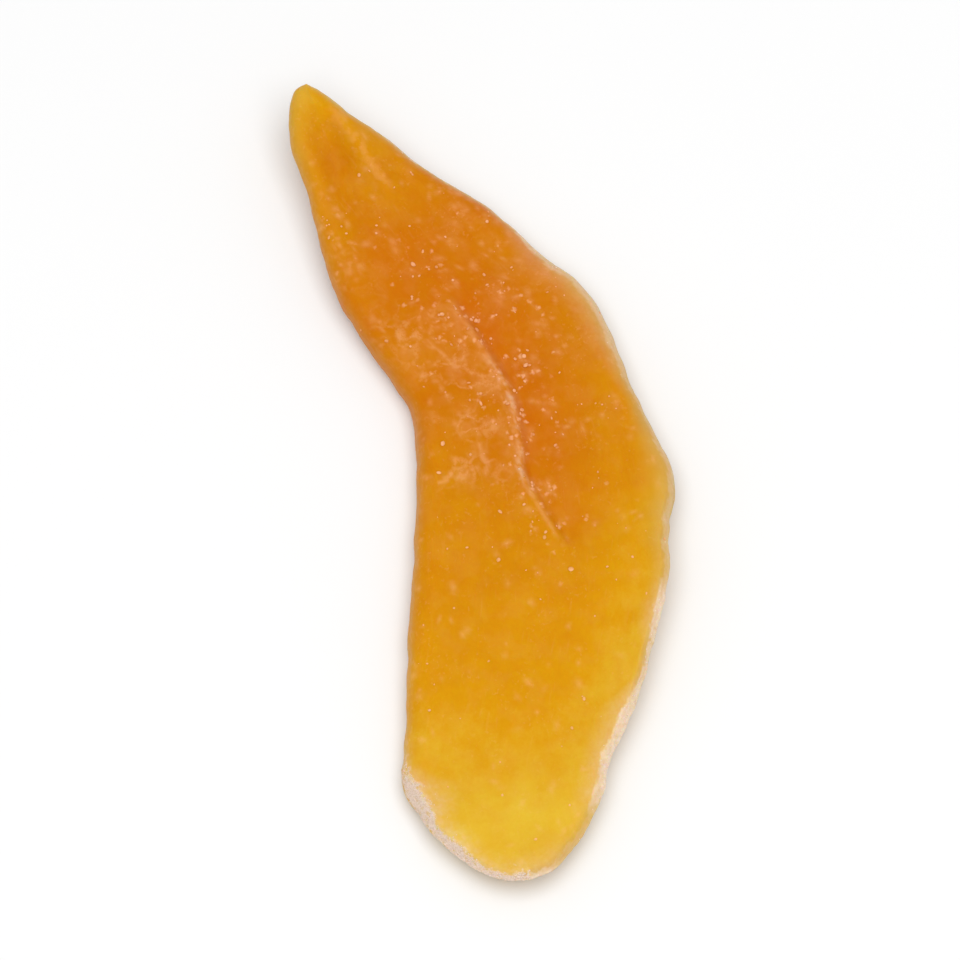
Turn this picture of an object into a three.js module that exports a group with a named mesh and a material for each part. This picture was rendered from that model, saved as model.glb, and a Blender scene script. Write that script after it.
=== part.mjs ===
// A dried mango slice.
//
// One lengthwise slice from the side of a mango, sugared and dried until it is leathery. It is a long bowed tongue of
// flesh: narrow, thin and curled up at the stem end, broad and blunt at the other. The knife went twice over the
// middle of the shown face and left a low ledge there, and the stem end dried into a small hollow beside a ridge.
// The slice rests on its belly, which has gone flat where it lies, and its two ends and both long edges lift off.
//
// Millimetres, +Z up. The origin is on the table, under the middle of the slice. The stem end points towards +Y.

import * as THREE from "three";
import { mergeVertices } from "three/addons/utils/BufferGeometryUtils.js";

// The outline seen from above, as two edges that both run from the stem tip to the blunt end.
const STEM_TIP = [-10.9, 51.6];
const BLUNT_END = [-8.6, -51.6];
const RIGHT_EDGE = [
  STEM_TIP,
  [-9.0, 50.2],
  [-6.4, 47.2],
  [-3.2, 44.0],
  [0.4, 39.4],
  [4.2, 35.6],
  [8.2, 31.2],
  [12.2, 24.8],
  [15.9, 19.8],
  [17.6, 13.5],
  [18.6, 4.2],
  [20.4, -6.4],
  [18.2, -13.0],
  [16.2, -19.8],
  [13.2, -26.0],
  [10.1, -31.5],
  [8.6, -34.1],
  [5.5, -37.8],
  [3.6, -40.6],
  [2.4, -43.4],
  [-0.6, -47.1],
  [-3.1, -49.4],
  [-5.6, -51.1],
  BLUNT_END,
];
const LEFT_EDGE = [
  STEM_TIP,
  [-12.6, 51.0],
  [-13.8, 48.6],
  [-14.4, 45.2],
  [-13.9, 39.0],
  [-13.8, 32.6],
  [-13.5, 26.2],
  [-11.1, 18.1],
  [-8.4, 10.6],
  [-8.9, 3.6],
  [-12.0, -8.0],
  [-15.3, -18.4],
  [-17.9, -28.2],
  [-20.2, -35.8],
  [-19.2, -40.6],
  [-17.4, -44.8],
  [-14.0, -49.1],
  [-11.4, -50.9],
  BLUNT_END,
];

// Thickness of the flesh.
const THICK_MIDDLE = 6.0; // from the middle to where the blunt end's taper starts
const THICK_TIP_SHARE = 0.62; // of the middle's, left at the stem tip
const TIP_TAPER_SHARE = 0.5; // share of the length over which the stem side grows thick
const THICK_BLUNT_SHARE = 0.66; // of the middle's, left at the blunt end
const BLUNT_TAPER_SHARE = 0.38;
const LEFT_THINNER = 0.16; // share lost at the left edge, which was cut nearer to the skin
const HALF_WIDTH = 16; // of the widest section
const SOFT_RIM_HEIGHT = 0.34; // how far up its thickness the rim's widest line runs
const CUT_RIM_HEIGHT = 0.74;

// The rim, measured inwards from the outline. Its skin side is soft, and its knife-cut side is nearly a chamfer.
const SOFT_BEVEL = { width: 3.0, power: 2.3 }; // power 2 is a quarter ellipse, and more is squarer
const CUT_BEVEL = { width: 1.1, power: 1.25 }; // power 1 is a straight chamfer
const SOFT_UNDER_BEVEL = { width: 1.6, power: 2.0 };
const CUT_UNDER_BEVEL = { width: 3.0, power: 1.4 };
const CUT_START_RIGHT = 0.54; // share of the length where the cut side begins on the right edge
const CUT_START_LEFT = 0.8;
const CUT_BLEND = 0.1;

// How the slice curls off the table.
const TIP_CURL = 7.0; // height of the stem tip's underside
const TIP_CURL_SHARE = 0.42; // share of the length that the curl takes up
const TIP_TWIST = 2.2; // by how much the tip's right side would lie lower at the full half width
const BLUNT_CURL = 1.4;
const BLUNT_CURL_SHARE = 0.27;
const RIGHT_EDGE_LIFT = 1.4;
const LEFT_EDGE_LIFT = 0.8;
const EDGE_LIFT_POWER = 3;
const BELLY_SINK = 0.32; // how much of the rounded belly has gone flat
const BELLY_BLEND = 0.22; // height over which the flat belly turns into the rounded underside

// The ledge that the second knife stroke left, from the stem side down. The flesh right of it is lower.
const LEDGE_LINE = [
  [-0.6, 23.0],
  [1.1, 18.1],
  [4.0, 8.4],
  [3.6, 0.4],
  [3.1, -2.8],
  [5.0, -10.7],
  [6.4, -14.5],
];
const LEDGE_DROP = 0.5;
const LEDGE_LIP = 0.25; // height of the torn lip along the ledge's upper side
const LEDGE_WIDTH = 1.4;
const LEDGE_RECOVERY = 6.5; // distance over which the lower side comes back up
const LIP_REACH = 3.2;
const LEDGE_FADE = 5.0; // the ledge dies out over this length at each end

// The hollow in the stem end and the ridge along its right side.
const HOLLOW_CENTRE = [-9.8, 41.3];
const HOLLOW_LENGTH = 6.5; // half of it
const HOLLOW_WIDTH = 2.3; // half of it
const HOLLOW_DEPTH = 1.1;
const RIDGE_TOP = [-8.1, 47.4];
const RIDGE_FOOT = [-4.5, 36.9];
const RIDGE_HEIGHT = 0.6;
const RIDGE_WIDTH = 1.5;

// Unevenness from drying, and the coarser fibres of the flesh.
const LUMP_HEIGHT = 0.42;
const LUMP_LENGTHS = [9, 12, 15, 19, 26];
const FIBRE_HEIGHT = 0.03;
const FIBRE_SPACINGS = [3.4, 4.7, 6.3];
const FIBRE_DRIFT = 0.14; // slant of the fibres against the slice's own length
const SOFT_EDGE_WOBBLE = 0.12;
const CUT_EDGE_WOBBLE = 0.16;
const EDGE_WOBBLE_LENGTHS = [4.3, 6.7, 10.9];
const WOBBLE_FADE = 12; // the waves reach full height this many times sooner than the slice's length
const TOP_TURN = 1; // sets the waves of the shown face apart from those of the underside
const UNDER_TURN = 4;
const UNDER_GRAIN_SHARE = 0.5; // the underside is this much smoother
const GOLDEN_ANGLE = 2.399963; // turns each wave away from the one before it

// The mesh.
const ROWS = 70; // sections from tip to blunt end
const TOP_COLUMNS = 44; // quads across the shown face in one section
const UNDER_COLUMNS = 28;
const END_CROWDING = 0.38; // how much closer the sections stand at both ends
const OUTLINE_STEPS = 200; // straight runs that stand for each edge where distances to it are measured
const LEDGE_STEPS = 60;
const MERGE_DISTANCE = 1e-4;

const COLOUR = "#d98a1c";
const ROUGHNESS = 0.45;

const clamp01 = (value) => Math.min(1, Math.max(0, value));
const smooth = (value) => {
  const v = clamp01(value);
  return v * v * (3 - 2 * v);
};

const edgeCurve = (points) =>
  new THREE.SplineCurve(points.map(([x, y]) => new THREE.Vector2(x, y)));

const leftEdge = edgeCurve(LEFT_EDGE);
const rightEdge = edgeCurve(RIGHT_EDGE);
const edgeLength = (leftEdge.getLength() + rightEdge.getLength()) / 2;

const mean = (values) => values.reduce((a, b) => a + b, 0) / values.length;

// 0 where the rim is soft, 1 where it is knife-cut. across runs from -1 at the left edge to 1 at the right edge.
function cutShare(along, across) {
  const right = smooth((across + 1) / 2);
  const start = CUT_START_LEFT + (CUT_START_RIGHT - CUT_START_LEFT) * right;
  return smooth((along - start) / CUT_BLEND);
}

// Small waves of an edge, -1 left or 1 right, which fade out at the two ends so that both edges still meet there.
function wobble(along, side) {
  const fade = smooth(along * WOBBLE_FADE) * smooth((1 - along) * WOBBLE_FADE);
  const height = SOFT_EDGE_WOBBLE + (CUT_EDGE_WOBBLE - SOFT_EDGE_WOBBLE) * cutShare(along, side);
  const waves = EDGE_WOBBLE_LENGTHS.map((length, k) =>
    Math.sin((2 * Math.PI * along * edgeLength) / length + side * (k + 1) * GOLDEN_ANGLE),
  );
  return height * fade * mean(waves);
}

// The two ends of the section at a share of the way along the edges.
function sectionEnds(along) {
  const left = leftEdge.getPointAt(along);
  const right = rightEdge.getPointAt(along);
  left.x += wobble(along, -1);
  right.x += wobble(along, 1);
  return { left, right };
}

const outline = Array.from({ length: OUTLINE_STEPS + 1 }, (_, i) =>
  sectionEnds(i / OUTLINE_STEPS),
);

function distanceToSegment(point, a, b) {
  const run = b.clone().sub(a);
  const lengthSquared = run.lengthSq();
  if (lengthSquared === 0) return point.distanceTo(a);
  const share = clamp01(point.clone().sub(a).dot(run) / lengthSquared);
  return point.distanceTo(a.clone().addScaledVector(run, share));
}

function distanceToEdge(point) {
  let nearest = Infinity;
  for (let i = 0; i < OUTLINE_STEPS; i++) {
    for (const side of ["left", "right"]) {
      const found = distanceToSegment(point, outline[i][side], outline[i + 1][side]);
      nearest = Math.min(nearest, found);
    }
  }
  return nearest;
}

// A rounded step from 0 at the outline to 1 at the bevel's inner side.
function bevel(distance, { width, power }) {
  const share = 1 - clamp01(distance / width);
  return (1 - share ** power) ** (1 / power);
}

// The rim's step where the knife-cut side takes over from the soft side as cut grows from 0 to 1.
function blendedBevel(distance, cut, softKind, cutKind) {
  return (1 - cut) * bevel(distance, softKind) + cut * bevel(distance, cutKind);
}

// Here and below, lean is the distance from the middle line as a share of the half width: -1 left, 1 right.
function thicknessAt(along, lean) {
  const fromTip = THICK_TIP_SHARE + (1 - THICK_TIP_SHARE) * smooth(along / TIP_TAPER_SHARE);
  const fromBlunt = THICK_BLUNT_SHARE + (1 - THICK_BLUNT_SHARE) * smooth((1 - along) / BLUNT_TAPER_SHARE);
  const towardsLeft = 1 - LEFT_THINNER * smooth(-lean);
  return THICK_MIDDLE * fromTip * fromBlunt * towardsLeft;
}

// Height of the rounded underside over the table, before the belly is made flat. It dips below 0 under the belly.
function undersideAt(along, lean) {
  const tipShare = clamp01(1 - along / TIP_CURL_SHARE);
  const bluntShare = clamp01(1 - (1 - along) / BLUNT_CURL_SHARE);
  const ends = TIP_CURL * tipShare ** 2 + BLUNT_CURL * bluntShare ** 2;
  const twist = -TIP_TWIST * lean * smooth(tipShare);
  const edgeLift = lean > 0 ? RIGHT_EDGE_LIFT : LEFT_EDGE_LIFT;
  return ends + twist + edgeLift * Math.abs(lean) ** EDGE_LIFT_POWER - BELLY_SINK;
}

// The underside with its belly pressed flat against the table.
function flattened(height) {
  if (height <= -BELLY_BLEND) return 0;
  if (height >= BELLY_BLEND) return height;
  return (height + BELLY_BLEND) ** 2 / (4 * BELLY_BLEND);
}

const ledgePoints = edgeCurve(LEDGE_LINE).getPoints(LEDGE_STEPS);

// x of the ledge at a y, read between the curve's own points.
function ledgeX(y) {
  const next = ledgePoints.findIndex((p) => p.y <= y);
  if (next === 0) return ledgePoints[0].x;
  if (next < 0) return ledgePoints.at(-1).x;
  const [a, b] = [ledgePoints[next - 1], ledgePoints[next]];
  return a.x + ((b.x - a.x) * (a.y - y)) / (a.y - b.y);
}

function ledge(x, y) {
  const top = ledgePoints[0].y;
  const bottom = ledgePoints.at(-1).y;
  const fade = smooth((top - y) / LEDGE_FADE) * smooth((y - bottom) / LEDGE_FADE);
  const offset = x - ledgeX(y);
  const step = smooth(offset / LEDGE_WIDTH + 0.5);
  const drop = -LEDGE_DROP * step * Math.exp(-Math.max(0, offset) / LEDGE_RECOVERY);
  const lip = LEDGE_LIP * (1 - step) * Math.exp(Math.min(0, offset) / LIP_REACH);
  return fade * (drop + lip);
}

function stemHollow(x, y) {
  const across = (x - HOLLOW_CENTRE[0]) / HOLLOW_WIDTH;
  const along = (y - HOLLOW_CENTRE[1]) / HOLLOW_LENGTH;
  return -HOLLOW_DEPTH * Math.exp(-(across ** 2) - along ** 2);
}

function stemRidge(x, y) {
  const top = new THREE.Vector2(...RIDGE_TOP);
  const foot = new THREE.Vector2(...RIDGE_FOOT);
  const gap = distanceToSegment(new THREE.Vector2(x, y), top, foot);
  return RIDGE_HEIGHT * Math.exp(-((gap / RIDGE_WIDTH) ** 2));
}

// Shallow lumps and dips in all directions.
function lumps(x, y, turn) {
  const waves = LUMP_LENGTHS.map((length, k) => {
    const angle = (k + turn) * GOLDEN_ANGLE;
    const travel = x * Math.cos(angle) + y * Math.sin(angle);
    return Math.sin((2 * Math.PI * travel) / length + angle);
  });
  return LUMP_HEIGHT * mean(waves);
}

// Fibres that follow the slice's own bow, given by the distance from its middle line and along it.
function fibres(fromMiddle, down, turn) {
  const waves = FIBRE_SPACINGS.map((spacing, k) => {
    const slant = FIBRE_DRIFT * Math.sin((k + turn) * GOLDEN_ANGLE);
    return Math.sin((2 * Math.PI * (fromMiddle + slant * down)) / spacing + k * GOLDEN_ANGLE);
  });
  return FIBRE_HEIGHT * mean(waves);
}

// Where the point of one section goes: angle 0 is the left rim, a quarter turn the top, a half turn the right rim.
function surfacePoint(along, angle) {
  const across = -Math.cos(angle);
  const { left, right } = sectionEnds(along);
  const plan = left.clone().lerp(right, (across + 1) / 2);
  const fromMiddle = (across * left.distanceTo(right)) / 2;
  const down = along * edgeLength;
  const distance = Math.abs(across) === 1 ? 0 : distanceToEdge(plan);
  const lean = fromMiddle / HALF_WIDTH;
  const thickness = thicknessAt(along, lean);
  const cut = cutShare(along, across);
  const rimHeight = (SOFT_RIM_HEIGHT + (CUT_RIM_HEIGHT - SOFT_RIM_HEIGHT) * cut) * thickness;
  const rim = undersideAt(along, lean) + rimHeight;
  if (Math.sin(angle) > 0) {
    const round = blendedBevel(distance, cut, SOFT_BEVEL, CUT_BEVEL);
    const relief = ledge(plan.x, plan.y) + stemHollow(plan.x, plan.y) + stemRidge(plan.x, plan.y);
    const grain = lumps(plan.x, plan.y, TOP_TURN) + fibres(fromMiddle, down, TOP_TURN);
    const top = rim + round * (thickness - rimHeight + relief + grain);
    return new THREE.Vector3(plan.x, plan.y, top);
  }
  const round = blendedBevel(distance, cut, SOFT_UNDER_BEVEL, CUT_UNDER_BEVEL);
  const grain = UNDER_GRAIN_SHARE * (lumps(plan.x, plan.y, UNDER_TURN) + fibres(fromMiddle, down, UNDER_TURN));
  const under = rim - round * (rimHeight + grain);
  return new THREE.Vector3(plan.x, plan.y, flattened(under));
}

// Sections stand closer together at both ends, where the outline turns.
const sectionShare = (row) => row - (END_CROWDING * Math.sin(2 * Math.PI * row)) / (2 * Math.PI);

// Angle round a section for a share of its columns. More of them lie on the shown face than beneath.
function sectionAngle(share) {
  const topShare = TOP_COLUMNS / (TOP_COLUMNS + UNDER_COLUMNS);
  if (share <= topShare) return (Math.PI * share) / topShare;
  return Math.PI + (Math.PI * (share - topShare)) / (1 - topShare);
}

// A sphere whose poles become the two ends, and whose every ring becomes a section of the slice.
function sliceGeometry() {
  const sphere = new THREE.SphereGeometry(1, TOP_COLUMNS + UNDER_COLUMNS, ROWS);
  const position = sphere.getAttribute("position");
  const uv = sphere.getAttribute("uv");
  for (let i = 0; i < position.count; i++) {
    const along = clamp01(sectionShare(1 - uv.getY(i)));
    const point = surfacePoint(along, sectionAngle(clamp01(uv.getX(i))));
    position.setXYZ(i, point.x, point.y, point.z);
  }
  sphere.deleteAttribute("normal");
  sphere.deleteAttribute("uv");
  const closed = mergeVertices(sphere, MERGE_DISTANCE);
  closed.computeVertexNormals();
  return closed;
}

const slice = new THREE.Mesh(
  sliceGeometry(),
  new THREE.MeshStandardMaterial({ color: COLOUR, roughness: ROUGHNESS, metalness: 0 }),
);
slice.name = "mango_slice";

const model = new THREE.Group();
model.add(slice);

export default model;
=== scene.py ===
"""A dried mango slice: its flesh, the sugar on it, and the studio that shows it.

The flesh is one closed skin, laid in sections from the stem tip to the blunt end. It takes the place of the
frame's plain solid, keeps its form, and adds fine relief, fibres and frosting. Lengths are in metres.
"""

import math
from dataclasses import dataclass, replace

import bmesh
import bpy
import numpy as np
from bpy.props import FloatProperty, FloatVectorProperty, IntProperty, PointerProperty
from bpy.types import Operator, Panel, PropertyGroup
from bpy.utils import register_class, unregister_class
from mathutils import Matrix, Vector, noise


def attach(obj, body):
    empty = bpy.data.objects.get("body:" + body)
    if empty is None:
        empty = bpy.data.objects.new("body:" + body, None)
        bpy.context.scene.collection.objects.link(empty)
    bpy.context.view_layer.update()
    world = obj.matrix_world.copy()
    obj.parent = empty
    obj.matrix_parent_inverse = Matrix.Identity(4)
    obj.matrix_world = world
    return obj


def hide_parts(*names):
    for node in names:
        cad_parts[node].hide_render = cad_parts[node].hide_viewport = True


bl_info = {
    "name": "Dried Mango Slice",
    "version": (1, 0, 0),
    "blender": (4, 5, 0),
    "location": "View3D > Sidebar > Mango Slice",
    "description": "Builds a sugared, dried mango slice and the studio that shows it",
    "category": "Add Mesh",
}

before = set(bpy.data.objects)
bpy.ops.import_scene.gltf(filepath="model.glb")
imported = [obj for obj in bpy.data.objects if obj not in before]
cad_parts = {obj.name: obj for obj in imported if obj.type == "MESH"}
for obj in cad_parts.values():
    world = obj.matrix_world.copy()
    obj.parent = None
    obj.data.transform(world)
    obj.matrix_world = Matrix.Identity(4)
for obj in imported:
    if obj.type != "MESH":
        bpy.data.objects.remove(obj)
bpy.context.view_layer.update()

MM = 0.001
NODE = "mango_slice"
BODY = "root"
FLESH = "mango_flesh"

# The outline seen from above, as two edges that both run from the stem tip to the blunt end.
STEM_TIP = (-10.9, 51.6)
BLUNT_END = (-8.6, -51.6)
RIGHT_EDGE = MM * np.array([
    STEM_TIP,
    (-9, 50.2), (-6.4, 47.2), (-3.2, 44), (0.4, 39.4), (4.2, 35.6),
    (8.2, 31.2), (12.2, 24.8), (15.9, 19.8), (17.6, 13.5), (18.6, 4.2),
    (20.4, -6.4), (18.2, -13), (16.2, -19.8), (13.2, -26), (10.1, -31.5),
    (8.6, -34.1), (5.5, -37.8), (3.6, -40.6), (2.4, -43.4), (-0.6, -47.1),
    (-3.1, -49.4), (-5.6, -51.1),
    BLUNT_END,
])
LEFT_EDGE = MM * np.array([
    STEM_TIP,
    (-12.6, 51), (-13.8, 48.6), (-14.4, 45.2), (-13.9, 39), (-13.8, 32.6),
    (-13.5, 26.2), (-11.1, 18.1), (-8.4, 10.6), (-8.9, 3.6), (-12, -8),
    (-15.3, -18.4), (-17.9, -28.2), (-20.2, -35.8), (-19.2, -40.6), (-17.4, -44.8),
    (-14, -49.1), (-11.4, -50.9),
    BLUNT_END,
])

# Thickness of the flesh.
THICK_TIP_SHARE = 0.62  # of the middle's, left at the stem tip
TIP_TAPER_SHARE = 0.5  # share of the length over which the stem side grows thick
THICK_BLUNT_SHARE = 0.66
BLUNT_TAPER_SHARE = 0.38
LEFT_THINNER = 0.16  # share lost at the left edge, which was cut nearer to the skin
HALF_WIDTH = 16 * MM  # of the widest section
SOFT_RIM_HEIGHT = 0.34  # how far up its thickness the rim's widest line runs
CUT_RIM_HEIGHT = 0.74

# The rim, as a width measured inwards from the outline and a power: 1 is a chamfer, 2 a quarter ellipse.
SOFT_BEVEL = (3.0 * MM, 2.3)
CUT_BEVEL = (1.1 * MM, 1.25)
SOFT_UNDER_BEVEL = (1.6 * MM, 2.0)
CUT_UNDER_BEVEL = (3.0 * MM, 1.4)
CUT_START_RIGHT = 0.54  # share of the length where the knife-cut side begins on the right edge
CUT_START_LEFT = 0.8
CUT_BLEND = 0.1

# How the slice curls off the table.
TIP_CURL_SHARE = 0.42  # share of the length that the curl takes up
TIP_TWIST = 2.2 * MM  # by how much the tip's right side would lie lower at the full half width
BLUNT_CURL_SHARE = 0.27
RIGHT_EDGE_LIFT = 1.4 * MM
LEFT_EDGE_LIFT = 0.8 * MM
EDGE_LIFT_POWER = 3
BELLY_SINK = 0.32 * MM  # how much of the rounded belly has gone flat
BELLY_BLEND = 0.22 * MM  # height over which the flat belly turns into the rounded underside

# The ledge that the second knife stroke left, from the stem side down. The flesh right of it is lower.
LEDGE_LINE = MM * np.array([
    (-0.6, 23), (1.1, 18.1), (4, 8.4), (3.6, 0.4), (3.1, -2.8),
    (5, -10.7), (6.4, -14.5),
])
LEDGE_LIP = 0.25 * MM  # height of the torn lip along the ledge's upper side
LEDGE_WIDTH = 1.4 * MM
LEDGE_RECOVERY = 6.5 * MM  # distance over which the lower side comes back up
LIP_REACH = 3.2 * MM
LEDGE_FADE = 5.0 * MM  # the ledge dies out over this length at each end

# The hollow in the stem end and the ridge along its right side.
HOLLOW_CENTRE = MM * np.array((-9.8, 41.3))
HOLLOW_HALF_SIZE = MM * np.array((2.3, 6.5))
HOLLOW_DEPTH = 1.1 * MM
RIDGE_LINE = MM * np.array([(-8.1, 47.4), (-4.5, 36.9)])
RIDGE_HEIGHT = 0.6 * MM
RIDGE_WIDTH = 1.5 * MM

# Unevenness from drying, and the coarser fibres of the flesh.
LUMP_HEIGHT = 0.42 * MM
LUMP_LENGTHS = MM * np.array((9, 12, 15, 19, 26))
FIBRE_HEIGHT = 0.03 * MM
FIBRE_SPACINGS = MM * np.array((3.4, 4.7, 6.3))
FIBRE_DRIFT = 0.14  # slant of the fibres against the slice's own length
SOFT_EDGE_WOBBLE = 0.12 * MM
CUT_EDGE_WOBBLE = 0.16 * MM
SOFT_NICK_SHARE = 0.2  # how deep the nicks of a soft edge are against those of a cut one
EDGE_WOBBLE_LENGTHS = MM * np.array((4.3, 6.7, 10.9))
WOBBLE_FADE = 12  # the waves reach full height this many times sooner than the slice's length
TOP_TURN = 1  # sets the waves of the shown face apart from those of the underside
UNDER_TURN = 4
UNDER_GRAIN_SHARE = 0.5  # the underside is this much smoother
GOLDEN_ANGLE = 2.399963  # turns each wave away from the one before it

# Colour along the slice, as share of the length and tone: 0 is the deepest orange, 1 the palest yellow.
TONE_STATIONS = np.array([
    (0, 0.78), (0.07, 0.60), (0.14, 0.46), (0.22, 0.16), (0.30, 0.11),
    (0.49, 0.25), (0.57, 0.43), (0.70, 0.58), (0.80, 0.71), (0.835, 0.77),
    (0.87, 0.86), (0.90, 0.92), (0.97, 0.88),
])
# Paler or deeper places near the edges: change of tone, share of the length and half width. The paler places
# by the left edge are partly paler flesh and partly painted light on the shaded left rim.
RIGHT_TONES = ((-0.08, 0.14, 0.05), (-0.06, 0.83, 0.06), (-0.12, 1.0, 0.08))
LEFT_TONES_AND_PAINTED_LIGHT = (
    (0.18, 0.22, 0.06), (0.18, 0.33, 0.06), (0.18, 0.50, 0.07),
    (0.07, 0.78, 0.04), (0.06, 0.84, 0.06),
)
RIGHT_SIDE_TONE = 0.2  # how much paler the right side is along the middle
# Painted shade: the flesh in the stem hollow turns a deeper orange the deeper it lies.
HOLLOW_PAINTED_SHADE = 0.2
# Painted shade on the lower flesh right of the ledge and painted light on its upper side, standing in for
# the step's own light and shade.
BELOW_LEDGE_PAINTED_SHADE = -0.18
ABOVE_LEDGE_PAINTED_LIGHT = 0.05
FACET_TONE = -0.05
BELOW_LEDGE_REACH = 2.6 * MM
ABOVE_LEDGE_REACH = 4 * MM
FACET_FOOT = MM * np.array([(6.4, -14.5), (11.0, -10.6), (15.5, -8.2), (20.4, -7.2)])
FACET_BLEND = 2.4 * MM
FACET_MIDDLE = (-7 * MM, 7 * MM)  # place and half width

# Width in mm of the pale rim that light gets through.
THIN_RIGHT_REACH = (1.0, 1.9)  # at the stem side and further on
THIN_RIGHT_SPOTS = ((3.0, 0.57, 0.08), (1.5, 0.36, 0.06))  # mm more, share of the length and half width
THIN_LEFT_REACH = (1.4, 3.8)  # further on and at the stem tip
THIN_LEFT_STRENGTH = (0.1, 0.8)

# Frost along each edge, as share of the length, width in mm and strength.
RIGHT_FROST = np.array([
    (0, 0.4, 0.1), (0.1, 0.45, 0.7), (0.24, 0.5, 0.8), (0.30, 1.6, 0.6),
    (0.40, 1.5, 0.6), (0.47, 0.7, 0.4), (0.53, 1.1, 0.5), (0.66, 0.8, 0.4),
    (0.685, 1, 1), (0.71, 0.9, 1), (0.73, 0.5, 0.9), (0.765, 0.5, 0.9),
    (0.785, 1.35, 1), (0.88, 1.25, 1), (0.91, 0.8, 0.25), (0.96, 0.7, 0.35),
    (0.98, 0.7, 0.9), (1, 0.7, 1),
])
LEFT_FROST = np.array([
    (0, 0.4, 0.1), (0.3, 0.4, 0.05), (0.76, 0.4, 0.15), (0.80, 0.6, 0.7),
    (0.83, 2.1, 1), (0.85, 2, 1), (0.875, 1.2, 1), (0.90, 1.3, 1),
    (0.93, 0.8, 0.9), (0.96, 0.9, 0.9), (1, 0.8, 1),
])
# Frost on the crest of the ledge, as place in mm towards the stem tip and strength.
CREST_FROST = np.array([
    (14, 0), (11, 0.3), (8.7, 0.5), (6, 0.15), (1, 0.15),
    (-2.4, 0.3), (-5, 0.1), (-7, 0),
])
CHAMFER_CRUMBLE = 0.4  # how crumbly the frost of the right edge is, against that of the left
CHAMFER_BARE = 0.4  # share of the frost lost along the middle of the chamfer
FROST_RAGGEDNESS = 0.7 * MM
FROST_THICKNESS = 0.04 * MM
SIDE_FROST = (0.15, 0.75)  # least and most cover of the upright sides
FROST_VEIL = 0.28  # strength of the thin frost inside each frosted rim, against the rim's own
END_FROST = 0.20
END_FROST_WIDTH = 4.5 * MM
CREST_PLACE = -0.5 * MM  # how far right of the ledge line its crest lies
CREST_WIDTH = 0.4 * MM

# Half dissolved sugar on the flesh.
SMUDGES = 420
SMUDGE_LENGTHS = (0.2, 0.6)  # least and most, in mm
SMUDGE_WIDTHS = (0.18, 0.42)
SMUDGE_STRENGTHS = (0.3, 1.0)
SMUDGE_TURN = 0.9  # spread of their directions, in radians about the slice's length
SMUDGE_REACH = 4  # times its length
SMUDGE_DEPTH = 2 * MM  # keeps a smear on its own side of the flesh
BAND_HAZE, RIDGE_HAZE, VEIN_HAZE = 0.5, 0.6, 1.1  # strengths
HAZE_REACH_LEFT = 4.6 * MM
HAZE_REACH_RIGHT = 0.6 * MM
# The pale line along the ledge's crest is half dissolved sugar and a painted highlight on the step's lip.
TORN_CREST_FOOT = 8 * MM  # above this the ledge's crest is torn and wider
TORN_CREST_FADE = 3 * MM
TORN_CREST_WANDER = 0.8 * MM
CREST_HAZE_AND_HIGHLIGHT_WIDTHS = (0.28, 0.5)  # in mm, where whole and where torn
PALE_RIDGE_WIDTH = 0.95 * MM
VEIN_WIDTH = 0.36 * MM
VEIN_WANDER = 0.25 * MM

# How thick the single crystals and specks lie on the whole face, at the ledge and on its upper part.
SUGAR_ALL_OVER = 0.2
SUGAR_AT_LEDGE = 0.85
SUGAR_UPPER = 0.3
SUGAR_UNDER_SHARE = 0.3
LEDGE_SUGAR_PLACE = 1.2 * MM
LEDGE_SUGAR_WIDTH = 4.5 * MM
BARE_RIM_WIDTH = 1.2 * MM

# Faint veins of dried syrup left of the ledge.
VEINS = (
    MM * np.array([(-4.6, 16.8), (-2.9, 14.9), (-1.6, 12.4)]),
    MM * np.array([(-8.8, 0.2), (-7.2, -0.9), (-4.7, -1.0), (-2.1, -0.4)]),
    MM * np.array([(-1.5, 3.9), (-1.4, 1.5), (-1.4, -1.4)]),
)
FILM_FOOT = -6.0 * MM  # where film and haze end towards the blunt end
FILM_FADE = 6.0 * MM
UPPER_FILM = 0.18  # strength of the film on the upper face

# Noise on the skin: feature size, height, number of octaves, and a shift that sets it apart.
WRINKLES = (2.6 * MM, 0.07 * MM, 3, 0.0)
PORES = (0.75 * MM, 0.022 * MM, 2, 0.0)
STRANDS = (0.9 * MM, 0.018 * MM, 2, 0.0)
STRAND_STRETCH = 12  # strands are this many times longer than wide
NICKS = (1.5 * MM, 0.12 * MM, 2, 0.0)
CRUST = (0.5 * MM, 0.085 * MM, 3, 0.0)
FROST_EDGE = (2.6 * MM, 1.0, 2, 3.1)
FROST_CRUMB = (0.55 * MM, 1.0, 3, 9.7)
FROST_PATCHES = (3.2 * MM, 1.6, 3, 17.3)
SMUDGE_EDGE = (0.5 * MM, 0.8, 2, 13.1)
FILM_PATCHES = (3.6 * MM, 1.6, 2, 41.9)
HAZE_CLOUDS = (2.4 * MM, 1.0, 3, 31.7)
HAZE_SPECKLE = (0.8 * MM, 1.0, 2, 13.1)
SUGAR_CLUSTERS = (3.0 * MM, 1.3, 2, 21.3)
TONE_DRIFT = (11 * MM, 0.06, 2, 5.3)

# Patterns in the materials: feature size, detail and roughness.
MOTTLE = (2.8 * MM, 4.0, 0.6)
SPECKLE = (0.38 * MM, 2.0, 0.6)
FINE_STRANDS = (0.7 * MM, 3.0, 0.6)
NET = (2.8 * MM, 1.5, 0.5)
NET_LINE = 0.065  # half width of the net's lines, in the noise's own height
SPECK_BEND = (0.45 * MM, 1.0, 0.5)
GRAIN_CLOUDS = (0.6 * MM, 2.0, 0.5)
FLOOR_CLOUDS = (60 * MM, 2.0, 0.5)

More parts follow.
